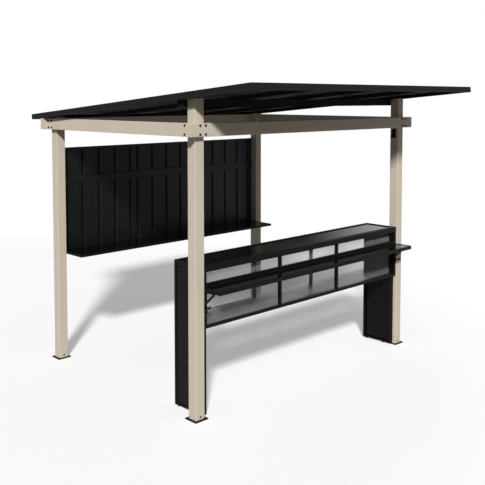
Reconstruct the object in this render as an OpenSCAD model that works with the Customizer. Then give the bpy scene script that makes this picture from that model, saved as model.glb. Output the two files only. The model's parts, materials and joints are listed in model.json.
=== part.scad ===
// Lean-to garden gazebo with a bar counter at the front and a privacy panel with a shelf at the back.
// Origin: on the ground, midway across the roof's overall width and depth. The bar faces -Y, +Z is up.
// Four square posts carry beams bolted to their outer faces, and a mono-pitch roof that falls to the back.

/* [Posts] */
// Outer width of the square posts
post_w = 90; // [70:1:120]
// Wall of the post tubes
post_wall = 2; // [1.5:0.5:4]
// Distance between the left and right posts, centre to centre
post_span_x = 2676; // [2400:1:3000]
// Distance between the front and back posts, centre to centre
post_span_y = 2000; // [1700:1:2200]

/* [Base plates] */
// How far a base plate reaches past its post on each side
plate_lip = 20; // [16:1:35]
// Thickness of the base plates
plate_t = 8; // [5:1:12]
// Diameter of the anchor holes
anchor_d = 9; // [7:0.5:10]

/* [Beams] */
// Height of the beams
beam_h = 104; // [80:1:140]
// Thickness of the beams
beam_t = 40; // [30:1:60]
// Wall of the beam tubes
beam_wall = 2; // [1.5:0.5:4]

/* [Roof] */
// How far the roof reaches past the middle of the posts on the left and on the right
side_overhang = 137; // [100:1:260]
// Distance from the roof's front edge to the middle of the front posts
front_overhang = 735; // [600:1:800]
// Distance from the middle of the back posts to the roof's back edge
back_overhang = 254; // [200:1:400]
// Slope of the roof in degrees
roof_slope = 5; // [3:0.5:7]
// Height of the roof's upper edge at the front
roof_front_h = 2612; // [2550:1:2800]
// Height of the fascia round the roof
fascia_h = 50; // [44:1:80]
// Width of the fascia's upper and lower flanges
fascia_flange = 30; // [20:1:45]
// Sheet thickness of the fascia and the rafters
fascia_wall = 2; // [1.5:0.5:3]
// Width of the rafters
rafter_w = 40; // [30:1:60]
// Thickness of the roof support beam, front to back
roof_beam_t = 40; // [30:1:60]
// Height of the roof support beam
roof_beam_h = 62; // [50:1:80]
// Thickness of the roof sheets
sheet_t = 1.5; // [1:0.5:3]
// Height of the ribs in the roof sheets
rib_h = 12; // [8:1:16]
// Width of a roof rib at its top
rib_top_w = 24; // [16:1:40]
// Width that each flank of a roof rib takes
rib_flank_w = 10; // [6:1:16]
// Number of ribs in each roof sheet
ribs_per_sheet = 4; // [2:1:6]

/* [Back panel] */
// Height of the back panel's upper edge
panel_top_h = 2029; // [1900:1:2150]
// Thickness of the panel sheets
panel_t = 1.5; // [1:0.5:3]
// Depth of the grooves in the panel sheets
groove_depth = 8; // [5:1:12]
// Width of a groove at the face
groove_w = 38; // [24:1:50]
// Width that each flank of a groove takes
groove_flank_w = 6; // [3:1:8]
// Distance from a sheet's side to the middle of its first groove
groove_inset = 46; // [30:1:60]
// Number of grooves in each panel sheet
grooves_per_sheet = 5; // [3:1:7]
// Height of the rail along the top of the panel
panel_rail_h = 20; // [15:1:40]
// Depth of the rail along the top of the panel
panel_rail_d = 18; // [14:1:30]
// Height of the middle rail's lower edge
mid_rail_h = 1671; // [1500:1:1750]
// Width of the middle rail
mid_rail_w = 79; // [50:1:110]
// Thickness of the middle rail
mid_rail_t = 8; // [4:1:14]

/* [Back shelf] */
// Height of the back shelf's upper edge
shelf_top_h = 1034; // [900:1:1100]
// Depth of the back shelf
shelf_d = 347; // [280:1:420]
// Thickness of the back shelf
shelf_t = 24; // [18:1:40]

/* [Bar counter] */
// Height of the counter's upper edge above the bar ledge's
counter_rise = 166; // [120:1:260]
// Depth of the end panels
counter_d = 337; // [280:1:400]
// Thickness of the counter top
counter_top_t = 30; // [20:1:45]
// Thickness of the end panels
end_t = 48; // [35:1:60]
// Height of the adjustable feet under the end panels
foot_h = 14; // [8:1:25]
// Diameter of the adjustable feet
foot_d = 30; // [20:1:34]
// Distance from an end panel's back to the middle of its rear foot
foot_inset = 30; // [25:1:60]
// Clearance between a front foot and the base plate beside it
foot_gap = 6; // [3:1:20]
// Width of the folded edge round the end panels
end_edge_w = 16; // [10:1:30]
// Width of the band down the rear edge of the end panels' inner faces
end_band_w = 46; // [30:1:60]
// Height of the band along the foot of the end panels' inner faces
end_foot_w = 32; // [16:1:50]
// Depth of the panels' faces behind their folded edges
end_recess = 8; // [1:0.5:12]
// How far the front frame's face lies behind the posts' front faces
frame_setback = 4; // [2:1:20]
// Thickness of the front frame, front to back
frame_t = 29; // [20:1:40]
// Height of the lower edge of the front frame and the bottom board
frame_bottom_h = 711; // [600:1:760]
// Height of the front frame's upper rail
top_rail_h = 50; // [40:1:80]
// Height of the front frame's middle rail
middle_rail_h = 50; // [40:1:80]
// How far the middle rail rises above the ledge
middle_rail_rise = 25; // [15:1:40]
// Height of the front frame's lower rail and thickness of the bottom board
bottom_rail_h = 22; // [16:1:40]
// Height of the back frame's upper rail
back_rail_h = 50; // [30:1:80]
// Width of the stiles at the ends of the front frame
end_stile_w = 27; // [20:1:45]
// Width of the square stiles between the mesh bays
stile_w = 27; // [20:1:45]
// Distance between the middles of the two stiles between the mesh bays
stile_span = 774; // [600:1:950]
// Thickness of the expanded metal mesh
mesh_t = 2; // [1.5:0.5:4]

/* [Trays] */
// Width of the raised rim round the counter top and the shelves
rim_w = 10; // [6:1:20]
// Height of the raised rim
rim_h = 4; // [2:0.5:8]

/* [Bar ledge] */
// Height of the ledge's upper edge
ledge_top_h = 1040; // [950:1:1100]
// Depth of the ledge
ledge_d = 182; // [140:1:240]
// Thickness of the ledge
ledge_t = 34; // [20:1:50]
// Length of the bracket's upright arm
bracket_h = 172; // [140:1:200]
// Length of the bracket's level arm
bracket_d = 120; // [90:1:135]
// Thickness of the bracket's arms
bracket_t = 5; // [4:1:8]
// Width of the bracket's strut
strut_w = 10; // [6:1:16]
// Thickness of the bracket's strut
strut_t = 8; // [5:1:12]
// Height of the strut's lower end above the foot of the upright arm
strut_foot = 85; // [65:1:110]
// Distance from the counter's face to the strut's upper end
strut_reach = 96; // [70:1:110]

/* [Hooks] */
// Diameter of the hook rods
hook_d = 8; // [6:1:12]
// How far the hooks under the ledge stand out
bracket_hook_l = 52; // [35:1:80]
// Height of the bracket's hook above the foot of the upright arm
bracket_hook_rise = 47; // [20:1:60]
// Height of the post hooks' plates
hook_plate_h = 90; // [60:1:120]
// Width of the post hooks' plates
hook_plate_w = 44; // [30:1:60]
// Thickness of the post hooks' plates
hook_plate_t = 4; // [3:1:8]
// Distance from a beam down to the top of a post hook's plate
hook_drop = 15; // [5:1:60]
// How far the post hooks stand out
post_hook_l = 42; // [30:1:70]

/* [Hidden] */

// Length that a cutting tool runs past what it cuts
past = 5;
// Colours of the two paints and the mesh
tan_paint = [0.78, 0.73, 0.66];
black_paint = [0.13, 0.13, 0.14];
mesh_grey = [0.45, 0.46, 0.47];

// Where the roof and the posts stand, seen from above
roof_w = post_span_x + 2 * side_overhang;
roof_d = (front_overhang + post_span_y + back_overhang) / cos(roof_slope);
roof_front_y = (fascia_h * sin(roof_slope) - roof_d * cos(roof_slope)) / 2;
front_y = roof_front_y + front_overhang;
back_y = front_y + post_span_y;
post_x = post_span_x / 2;
inner_x = post_x - post_w / 2;
outer_x = post_x + post_w / 2;
front_face_y = front_y - post_w / 2;
back_face_y = back_y + post_w / 2;

// Heights that follow from the roof's underside
function underside_z(y) = roof_front_h - (y - roof_front_y) * tan(roof_slope) - fascia_h / cos(roof_slope);
beam_top_z = underside_z(back_face_y + beam_t);
beam_z = beam_top_z - beam_h;
sheet_top = fascia_wall;
sheet_under = sheet_top + rib_h + sheet_t;
rafter_x = roof_w / 4;

// The roof support beam stands against the back of the front posts, between the side fascias
roof_beam_y = front_y + post_w / 2;
roof_beam_z = underside_z(roof_beam_y) - roof_beam_h;
roof_beam_x = roof_w / 2 - fascia_flange;

// The back panel's sheets stand on the shelf, between the back posts
panel_y = back_face_y - panel_rail_d;
sheet_face_y = back_face_y - groove_depth - panel_t;
panel_sheet_w = 2 * inner_x / 3;
panel_sheet_h = panel_top_h - panel_rail_h - shelf_top_h;

// The counter stands between the front posts, and its height follows the ledge's
counter_h = ledge_top_h + counter_rise;
frame_front_y = front_face_y + frame_setback;
end_front_y = frame_front_y + frame_t;
end_back_y = end_front_y + counter_d;
end_inner_x = inner_x - end_t;
window_z = frame_bottom_h + bottom_rail_h;
top_under_z = counter_h - counter_top_t;

// The ledge and its brackets hang on the counter's front frame
ledge_z = ledge_top_h - ledge_t;
middle_rail_z = ledge_top_h + middle_rail_rise - middle_rail_h;
bracket_z = ledge_z - bracket_h;
bracket_mid_x = inner_x - end_stile_w / 2;

// A box from its lowest to its highest corner
module span(low, high) {
    translate(low) cube(high - low);
}

// Moves its children from the roof's own frame, whose origin is the middle of the upper front edge
module on_roof() {
    translate([0, roof_front_y, roof_front_h]) rotate([-roof_slope, 0, 0]) children();
}

// Keeps what lies below the plane at this depth under the roof's upper face
module below_roof(depth) {
    difference() {
        children();
        on_roof() span([-roof_w, -roof_d, -depth], [roof_w, 2 * roof_d, roof_front_h]);
    }
}

// A square post from its base plate up to the roof
module post(x, y) {
    color(tan_paint) below_roof(fascia_h) difference() {
        span([x - post_w / 2, y - post_w / 2, plate_t], [x + post_w / 2, y + post_w / 2, roof_front_h]);
        span([x - post_w / 2 + post_wall, y - post_w / 2 + post_wall, plate_t - past],
            [x + post_w / 2 - post_wall, y + post_w / 2 - post_wall, roof_front_h + past]);
    }
}

// A square plate under a post, with one anchor hole in each corner
module base_plate(x, y) {
    half = post_w / 2 + plate_lip;
    hole = post_w / 2 + plate_lip / 2;
    color(black_paint) difference() {
        span([x - half, y - half, 0], [x + half, y + half, plate_t]);
        for (side = [-1, 1], end = [-1, 1])
            translate([x + side * hole, y + end * hole, -past])
                cylinder(h = plate_t + 2 * past, d = anchor_d, $fn = 32);
    }
}

// A beam along X, a tube with open ends
module beam_across(y) {
    half = roof_w / 2;
    color(tan_paint) difference() {
        span([-half, y, beam_z], [half, y + beam_t, beam_top_z]);
        span([-half - past, y + beam_wall, beam_z + beam_wall],
            [half + past, y + beam_t - beam_wall, beam_top_z - beam_wall]);
    }
}

// A beam along Y, a tube that fits between the two beams along X
module beam_along(x) {
    color(tan_paint) difference() {
        span([x, front_face_y, beam_z], [x + beam_t, back_face_y, beam_top_z]);
        span([x + beam_wall, front_face_y - past, beam_z + beam_wall],
            [x + beam_t - beam_wall, back_face_y + past, beam_top_z - beam_wall]);
    }
}

// The whole fascia as one channel round the roof, open to the inside
module fascia_ring() {
    half = roof_w / 2;
    difference() {
        span([-half, 0, -fascia_h], [half, roof_d, 0]);
        span([-half + fascia_wall, fascia_wall, -fascia_h + fascia_wall],
            [half - fascia_wall, roof_d - fascia_wall, -fascia_wall]);
        span([-half + fascia_flange, fascia_flange, -fascia_h - past],
            [half - fascia_flange, roof_d - fascia_flange, past]);
    }
}

// The length of fascia between two corners, mitred at both, from the outline of its flanges
module fascia(outline) {
    color(black_paint) on_roof() intersection() {
        fascia_ring();
        translate([0, 0, -fascia_h - past]) linear_extrude(fascia_h + 2 * past) polygon(outline);
    }
}

// A fascia along X at the front or, mirrored, at the back
module fascia_across(y, inward) {
    half = roof_w / 2;
    fascia([[-half, y], [half, y], [half - fascia_flange, y + inward * fascia_flange],
        [-half + fascia_flange, y + inward * fascia_flange]]);
}

// A fascia down the slope on the left side (-1) or the right side (1)
module fascia_along(side) {
    half = roof_w / 2;
    fascia([[side * half, 0], [side * half, roof_d],
        [side * (half - fascia_flange), roof_d - fascia_flange],
        [side * (half - fascia_flange), fascia_flange]]);
}

// A rafter down the slope, a tube under the sheets
module rafter(x) {
    color(black_paint) on_roof() difference() {
        span([x - rafter_w / 2, fascia_flange, -fascia_h],
            [x + rafter_w / 2, roof_d - fascia_flange, -sheet_under]);
        span([x - rafter_w / 2 + fascia_wall, fascia_flange - past, -fascia_h + fascia_wall],
            [x + rafter_w / 2 - fascia_wall, roof_d - fascia_flange + past, -sheet_under - fascia_wall]);
    }
}

// The beam that carries the rafters, a tube along X whose top follows the slope
module roof_support_beam() {
    color(black_paint) difference() {
        below_roof(fascia_h)
            span([-roof_beam_x, roof_beam_y, roof_beam_z],
                [roof_beam_x, roof_beam_y + roof_beam_t, roof_front_h]);
        below_roof(fascia_h + fascia_wall)
            span([-roof_beam_x - past, roof_beam_y + fascia_wall, roof_beam_z + fascia_wall],
                [roof_beam_x + past, roof_beam_y + roof_beam_t - fascia_wall, roof_front_h]);
    }
}

// Outline of a folded sheet of thickness t: its upper edge's points, then the same points t lower
function folded(points, t) = concat(points,
    [for (i = [len(points) - 1:-1:0]) [points[i][0], points[i][1] - t]]);

// Upper edge of one raised rib, around the middle x
function rib(x) = [[x - rib_top_w / 2 - rib_flank_w, -rib_h], [x - rib_top_w / 2, 0],
    [x + rib_top_w / 2, 0], [x + rib_top_w / 2 + rib_flank_w, -rib_h]];

// One ribbed roof sheet, which lies on the rafters and reaches into the fascia's channel
module roof_sheet(index) {
    left = index == 0 ? -roof_w / 2 + fascia_wall : (index - 2) * rafter_x;
    right = index == 3 ? roof_w / 2 - fascia_wall : (index - 1) * rafter_x;
    pitch = (right - left) / ribs_per_sheet;
    edge = concat([[left, -rib_h]],
        [for (i = [0:ribs_per_sheet - 1], p = rib(left + (i + 0.5) * pitch)) p],
        [[right, -rib_h]]);
    color(black_paint) on_roof() translate([0, roof_d - fascia_wall, -sheet_top]) rotate([90, 0, 0])
        linear_extrude(roof_d - 2 * fascia_wall) polygon(folded(edge, sheet_t));
}

// Edge of one groove around the middle x, seen from above with the face at the top
function groove(x) = [[x - groove_w / 2, 0], [x - groove_w / 2 + groove_flank_w, -groove_depth],
    [x + groove_w / 2 - groove_flank_w, -groove_depth], [x + groove_w / 2, 0]];

// One grooved sheet of the back panel, from the shelf up to the top rail
module back_panel(index) {
    left = -inner_x + index * panel_sheet_w;
    right = left + panel_sheet_w;
    pitch = (panel_sheet_w - 2 * groove_inset) / (grooves_per_sheet - 1);
    edge = concat([[left, 0]],
        [for (i = [0:grooves_per_sheet - 1], p = groove(left + groove_inset + i * pitch)) p],
        [[right, 0]]);
    color(black_paint) translate([0, sheet_face_y, shelf_top_h]) mirror([0, 1, 0])
        linear_extrude(panel_sheet_h) polygon(folded(edge, panel_t));
}

// The rail that caps the sheets
module back_panel_top_rail() {
    color(black_paint) span([-inner_x, panel_y, panel_top_h - panel_rail_h],
        [inner_x, back_face_y, panel_top_h]);
}

// The flat rail across the sheets' faces
module back_panel_middle_rail() {
    color(black_paint) span([-inner_x, sheet_face_y - mid_rail_t, mid_rail_h],
        [inner_x, sheet_face_y, mid_rail_h + mid_rail_w]);
}

// A flat board with a raised rim
module tray(low, high) {
    difference() {
        span(low, high);
        span([low[0] + rim_w, low[1] + rim_w, high[2] - rim_h],
            [high[0] - rim_w, high[1] - rim_w, high[2] + past]);
    }
}

module back_shelf() {
    back = back_face_y;
    color(black_paint) difference() {
        span([-inner_x, back - shelf_d, shelf_top_h - shelf_t], [inner_x, back, shelf_top_h]);
        span([-inner_x + rim_w, back - shelf_d + rim_w, shelf_top_h - rim_h],
            [inner_x - rim_w, panel_y, shelf_top_h + past]);
    }
}

// An end panel of the counter, with both faces set back inside a folded edge
module counter_end(side) {
    color(black_paint) difference() {
        span([min(side * inner_x, side * end_inner_x), end_front_y, foot_h],
            [max(side * inner_x, side * end_inner_x), end_back_y, top_under_z]);
        for (face = [[inner_x, end_edge_w, end_edge_w], [end_inner_x, end_band_w, end_foot_w]])
            span([side * face[0] - end_recess, end_front_y + end_edge_w, foot_h + face[2]],
                [side * face[0] + end_recess, end_back_y - face[1], top_under_z - end_edge_w]);
    }
}

// Four round feet, the front ones just behind the posts' base plates
module counter_feet() {
    front_foot_y = front_y + post_w / 2 + plate_lip + foot_gap + foot_d / 2;
    color(black_paint) for (side = [-1, 1], y = [front_foot_y, end_back_y - foot_inset])
        translate([side * (inner_x - end_t / 2), y, 0]) cylinder(h = foot_h, d = foot_d, $fn = 32);
}

module counter_top() {
    color(black_paint) tray([-inner_x, end_front_y, top_under_z], [inner_x, end_back_y, counter_h]);
}

// The board that closes the counter's lower side, between the end panels
module counter_bottom() {
    color(black_paint) span([-end_inner_x, end_front_y, frame_bottom_h], [end_inner_x, end_back_y, window_z]);
}

// A rail of the front frame
module front_rail(half, low_z, high_z) {
    color(black_paint) span([-half, frame_front_y, low_z], [half, end_front_y, high_z]);
}

// A pair of square stiles between the mesh bays, with their front faces at y
module stile_pair(y, high_z) {
    for (side = [-1, 1])
        span([(side * stile_span - stile_w) / 2, y, window_z],
            [(side * stile_span + stile_w) / 2, y + stile_w, high_z]);
}

// The front frame's end stiles, and the pair of square stiles behind its rails
module counter_front_stiles() {
    inner = inner_x - end_stile_w;
    color(black_paint) {
        for (side = [-1, 1])
            span([min(side * inner_x, side * inner), frame_front_y, window_z],
                [max(side * inner_x, side * inner), end_front_y, counter_h - top_rail_h]);
        stile_pair(end_front_y, top_under_z);
    }
}

module counter_back_top_rail() {
    color(black_paint) span([-end_inner_x, end_back_y - stile_w, top_under_z - back_rail_h],
        [end_inner_x, end_back_y, top_under_z]);
}

module counter_back_stiles() {
    color(black_paint) stile_pair(end_back_y - stile_w, top_under_z - back_rail_h);
}

// The expanded metal mesh in the three bays behind the front frame, as thin sheets
module counter_mesh() {
    near = (stile_span - stile_w) / 2;
    far = (stile_span + stile_w) / 2;
    color(mesh_grey) for (bay = [[-end_inner_x, -far], [-near, near], [far, end_inner_x]])
        span([bay[0], end_front_y, window_z], [bay[1], end_front_y + mesh_t, top_under_z]);
}

module bar_ledge() {
    color(black_paint) tray([-inner_x, frame_front_y - ledge_d, ledge_z],
        [inner_x, frame_front_y, ledge_top_h]);
}

// A bracket under one end of the ledge: an upright arm, a level arm, a strut between them and a hook
module ledge_bracket(side) {
    x = side * bracket_mid_x;
    half = end_stile_w / 2;
    foot = [frame_front_y - bracket_t, bracket_z + strut_foot];
    head = [frame_front_y - strut_reach, ledge_z - bracket_t];
    lean = atan2(foot[0] - head[0], head[1] - foot[1]);
    color(black_paint) {
        span([x - half, frame_front_y - bracket_t, bracket_z], [x + half, frame_front_y, ledge_z]);
        span([x - half, frame_front_y - bracket_d, ledge_z - bracket_t], [x + half, frame_front_y, ledge_z]);
        intersection() {
            translate([x, foot[0], foot[1]]) rotate([lean, 0, 0])
                span([-strut_w / 2, -strut_t / 2, -strut_reach],
                    [strut_w / 2, strut_t / 2, bracket_h + strut_reach]);
            span([x - half, frame_front_y - bracket_d, bracket_z], [x + half, frame_front_y, ledge_z]);
        }
        translate([x, frame_front_y - bracket_t / 2, bracket_z + bracket_hook_rise]) rotate([90, 0, 0])
            cylinder(h = bracket_hook_l + bracket_t / 2, d = hook_d, $fn = 32);
    }
}

module ledge_brackets() {
    ledge_bracket(-1);
    ledge_bracket(1);
}

// A hook on the inner face of each front post, just under the beams
module post_hooks() {
    top_z = beam_z - hook_drop;
    color(black_paint) for (side = [-1, 1]) {
        face = side * inner_x;
        plate = side * (inner_x - hook_plate_t);
        span([min(face, plate), front_y - hook_plate_w / 2, top_z - hook_plate_h],
            [max(face, plate), front_y + hook_plate_w / 2, top_z]);
        translate([plate, front_y, top_z - hook_plate_h + hook_d]) rotate([0, -side * 90, 0])
            cylinder(h = post_hook_l - hook_plate_t, d = hook_d, $fn = 32);
    }
}

post(-post_x, front_y);  // post_front_left
post(post_x, front_y);  // post_front_right
post(-post_x, back_y);  // post_back_left
post(post_x, back_y);  // post_back_right
base_plate(-post_x, front_y);  // base_plate_front_left
base_plate(post_x, front_y);  // base_plate_front_right
base_plate(-post_x, back_y);  // base_plate_back_left
base_plate(post_x, back_y);  // base_plate_back_right
beam_across(front_face_y - beam_t);  // beam_front
beam_across(back_face_y);  // beam_back
beam_along(-outer_x - beam_t);  // beam_left
beam_along(outer_x);  // beam_right
fascia_across(0, 1);  // fascia_front
fascia_across(roof_d, -1);  // fascia_back
fascia_along(-1);  // fascia_left
fascia_along(1);  // fascia_right
rafter(-rafter_x);  // rafter_left
rafter(0);  // rafter_middle
rafter(rafter_x);  // rafter_right
roof_support_beam();
roof_sheet(0);  // roof_sheet_1
roof_sheet(1);  // roof_sheet_2
roof_sheet(2);  // roof_sheet_3
roof_sheet(3);  // roof_sheet_4
back_panel(0);  // back_panel_left
back_panel(1);  // back_panel_middle
back_panel(2);  // back_panel_right
back_panel_top_rail();
back_panel_middle_rail();
back_shelf();
counter_end(-1);  // counter_end_left
counter_end(1);  // counter_end_right
counter_feet();
counter_top();
counter_bottom();
front_rail(inner_x, counter_h - top_rail_h, counter_h);  // counter_front_top_rail
front_rail(inner_x - end_stile_w, middle_rail_z, middle_rail_z + middle_rail_h);  // counter_front_middle_rail
front_rail(inner_x, frame_bottom_h, window_z);  // counter_front_bottom_rail
counter_front_stiles();
counter_back_top_rail();
counter_back_stiles();
counter_mesh();
bar_ledge();
ledge_brackets();
post_hooks();
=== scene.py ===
# %% [markdown]
# # A lean-to garden gazebo with a bar counter
#
# The gazebo is a flat-pack steel kit: rolled square tubes, folded sheet and bolts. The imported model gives
# the frame, which says where every piece is and how big it is. This script dresses it. It adds what is too
# fine for the frame, such as rolled corners, mesh, bolts and hooks, and it gives each part its paint.

# %% Load the frame
import json

import bpy
import numpy as np
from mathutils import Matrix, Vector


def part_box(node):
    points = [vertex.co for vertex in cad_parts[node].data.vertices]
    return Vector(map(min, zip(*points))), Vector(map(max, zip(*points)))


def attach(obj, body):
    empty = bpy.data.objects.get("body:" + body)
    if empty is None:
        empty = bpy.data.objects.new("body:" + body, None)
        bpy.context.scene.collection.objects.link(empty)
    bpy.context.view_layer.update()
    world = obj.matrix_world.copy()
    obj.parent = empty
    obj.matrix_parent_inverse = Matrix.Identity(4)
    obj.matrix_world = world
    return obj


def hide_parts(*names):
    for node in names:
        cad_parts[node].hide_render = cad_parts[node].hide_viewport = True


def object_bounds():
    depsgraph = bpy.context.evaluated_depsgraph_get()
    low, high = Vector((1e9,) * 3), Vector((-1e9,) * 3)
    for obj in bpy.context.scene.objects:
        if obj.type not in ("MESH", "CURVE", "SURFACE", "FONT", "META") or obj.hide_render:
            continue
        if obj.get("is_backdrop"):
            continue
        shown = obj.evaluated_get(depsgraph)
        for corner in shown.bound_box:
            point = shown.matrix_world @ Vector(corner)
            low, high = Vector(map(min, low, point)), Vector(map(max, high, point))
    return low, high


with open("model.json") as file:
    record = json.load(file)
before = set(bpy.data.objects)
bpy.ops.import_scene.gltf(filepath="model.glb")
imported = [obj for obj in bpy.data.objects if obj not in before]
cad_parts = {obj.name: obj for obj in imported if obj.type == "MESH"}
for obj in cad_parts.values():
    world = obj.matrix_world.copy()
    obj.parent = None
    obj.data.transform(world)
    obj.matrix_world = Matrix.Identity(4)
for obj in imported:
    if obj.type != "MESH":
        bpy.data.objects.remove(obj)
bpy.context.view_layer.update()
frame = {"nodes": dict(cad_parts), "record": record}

# %% [markdown]
# ## The camera
#
# The camera stands off the front left corner, a little below the roof's edge, and looks slightly down. A
# view camera keeps posts nearly upright by shifting its lens, and Blender's camera has the same movement.
# The shift moves the picture down without tilting it further.

# %% Place the camera
CAMERA_PLACE = (-5.1249, -5.1508, 2.5012)
CAMERA_HEADING = np.radians(44.3)
CAMERA_TILT = np.radians(3.5)
CAMERA_LENS = 56.29
CAMERA_SHIFT = -0.2012

camera = bpy.data.objects.new("camera", bpy.data.cameras.new("camera"))
camera.location = CAMERA_PLACE
camera.rotation_euler = (np.pi / 2 - CAMERA_TILT, 0.0, -CAMERA_HEADING)
camera.data.lens = CAMERA_LENS
camera.data.shift_y = CAMERA_SHIFT
bpy.context.scene.collection.objects.link(camera)
bpy.context.scene.camera = camera
print("camera at", CAMERA_PLACE, "lens", CAMERA_LENS, "mm")

# %% [markdown]
# ## The lamp
#
# Product pictures of garden furniture use one big soft lamp in a white room. A sun lamp with a wide disc is
# the soft lamp. Its light is parallel, so it lights the whole gazebo evenly, and its width blurs a shadow
# the more the further it falls. A large area lamp blurs shadows too, but its light would weaken across the
# gazebo.

# %% Make the lamp
SUN_STRENGTH = 4.6
SUN_WIDTH = np.radians(6.0)
SUN_DIRECTION = np.array([1.0, 1.0, -0.94])


def turned_to(direction):
    """Euler angles of a lamp that shines along a direction: its tilt from straight down, its heading."""
    x, y, z = direction / np.linalg.norm(direction)
    return (np.arccos(-z), 0.0, np.arctan2(-x, y))


sun = bpy.data.objects.new("sun", bpy.data.lights.new("sun", "SUN"))
sun.data.energy = SUN_STRENGTH
sun.data.angle = SUN_WIDTH
sun.rotation_euler = turned_to(SUN_DIRECTION)
bpy.context.scene.collection.objects.link(sun)
print("sun tilt and heading:", np.degrees(sun.rotation_euler).round(1))

# %% [markdown]
# Materials and the room are graphs of nodes. Such a graph is easier to read when one small function makes a
# node, sets its values and joins its inputs. A value may be a number or a colour, which is written on the
# socket, or another node's output, which is linked.

# %% Helpers for node graphs
def fill(tree, made, **inputs):
    """Sets or links a node's inputs by name, where _ stands for a space, or by number as in _0."""
    for name, value in inputs.items():
        socket = made.inputs[int(name[1:]) if name.startswith("_") else name.replace("_", " ")]
        if isinstance(value, bpy.types.NodeSocket):
            tree.links.new(value, socket)
        else:
            socket.default_value = value


def node(tree, kind, output=0, **inputs):
    """Adds a node, fills its inputs and returns one of its outputs. A keyword that isn't an input is one of
    the node's own settings."""
    made = tree.nodes.new(kind)
    settings = [name for name in inputs if hasattr(made, name) and not name.startswith("_")]
    for name in settings:
        setattr(made, name, inputs.pop(name))
    fill(tree, made, **inputs)
    return made.outputs[output] if made.outputs else made


def rays_from(tree, *kinds):
    """One where a ray is of any of these kinds, and zero elsewhere."""
    rays = tree.nodes.new("ShaderNodeLightPath").outputs
    found = rays[kinds[0]]
    for kind in kinds[1:]:
        found = node(tree, "ShaderNodeMath", operation="MAXIMUM", _0=found, _1=rays[kind])
    return found


print("helpers:", fill.__name__, node.__name__, rays_from.__name__)

# %% [markdown]
# ## The room
#
# The room is the world's own light. The camera sees it pure white, which is the background, while the light
# that it sheds is weak and even. Black gloss needs more than that: it shows little but what it mirrors, and
# in a room that is white all round each of its faces would be the same grey. So a glossy surface sees a
# studio, with a white ceiling, a white wall at each side, and dim walls at the front and the back.

# %% Light the room
ROOM_STRENGTH = 0.163
ROOM_DIMMEST = 0.035
WALL_FROM, WALL_TO = 0.74, 0.825
CEILING_FROM, CEILING_TO = 0.27, 0.36


def studio(tree):
    """What a glossy surface sees, from dim to white. A ray's direction is a unit vector. A side wall grows
    out of the dark as the size of its X passes WALL_FROM, and the ceiling as its Z passes CEILING_FROM."""
    direction = tree.nodes.new("ShaderNodeTexCoord").outputs["Generated"]
    across = node(tree, "ShaderNodeSeparateXYZ", output="X", Vector=direction)
    upwards = node(tree, "ShaderNodeSeparateXYZ", output="Z", Vector=direction)
    sideways = node(tree, "ShaderNodeMath", operation="ABSOLUTE", _0=across)
    walls = node(tree, "ShaderNodeMapRange", interpolation_type="SMOOTHSTEP", Value=sideways,
                 From_Min=WALL_FROM, From_Max=WALL_TO, To_Min=ROOM_DIMMEST, To_Max=1.0)
    ceiling = node(tree, "ShaderNodeMapRange", interpolation_type="SMOOTHSTEP", Value=upwards,
                   From_Min=CEILING_FROM, From_Max=CEILING_TO, To_Min=ROOM_DIMMEST, To_Max=1.0)
    return node(tree, "ShaderNodeMath", operation="MAXIMUM", _0=walls, _1=ceiling)


def room_nodes(tree):
    """The room's strength: its own on matt surfaces, the studio's in glossy ones, and one where it is seen
    directly or through something clear."""
    tree.nodes.clear()
    glossy = rays_from(tree, "Is Glossy Ray")
    direct = rays_from(tree, "Is Camera Ray", "Is Transmission Ray")
    shown = node(tree, "ShaderNodeMix", data_type="FLOAT", _0=glossy, _2=ROOM_STRENGTH, _3=studio(tree))
    strength = node(tree, "ShaderNodeMix", data_type="FLOAT", _0=direct, _2=shown, _3=1.0)
    shade = node(tree, "ShaderNodeBackground", Color=(1, 1, 1, 1), Strength=strength)
    node(tree, "ShaderNodeOutputWorld", Surface=shade)


world = bpy.data.worlds.new("room")
bpy.context.scene.world = world
world.use_nodes = True
room_nodes(world.node_tree)
bpy.context.scene.view_settings.view_transform = "Standard"
print("world nodes:", len(world.node_tree.nodes))

# %% [markdown]
# ## The floor
#
# The floor is a plain pale disc. It catches the soft shadow near the gazebo, and further out it fades into
# the white room, so that no horizon shows. The fade depends on the place on the floor, never on the camera.
# Its middle lies behind the gazebo's left side, so that the far end of the roof's shadow, on the right, has
# faded before it would show through the counter. The floor looks pale, but the light that it throws back up
# is that of a grey one, so that the underside of the roof and the shaded sides of the posts keep their
# depth.

# %% Make the floor
FLOOR_RADIUS = 40.0
FLOOR_SEEN = (0.63, 0.63, 0.63, 1)
FLOOR_BOUNCE = (0.262, 0.236, 0.220, 1)
FLOOR_LIFT = 0.338
FADE_FROM, FADE_TO = 4.8, 6.8
FADE_MIDDLE = (-2.5, 2.5, 0)


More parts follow.
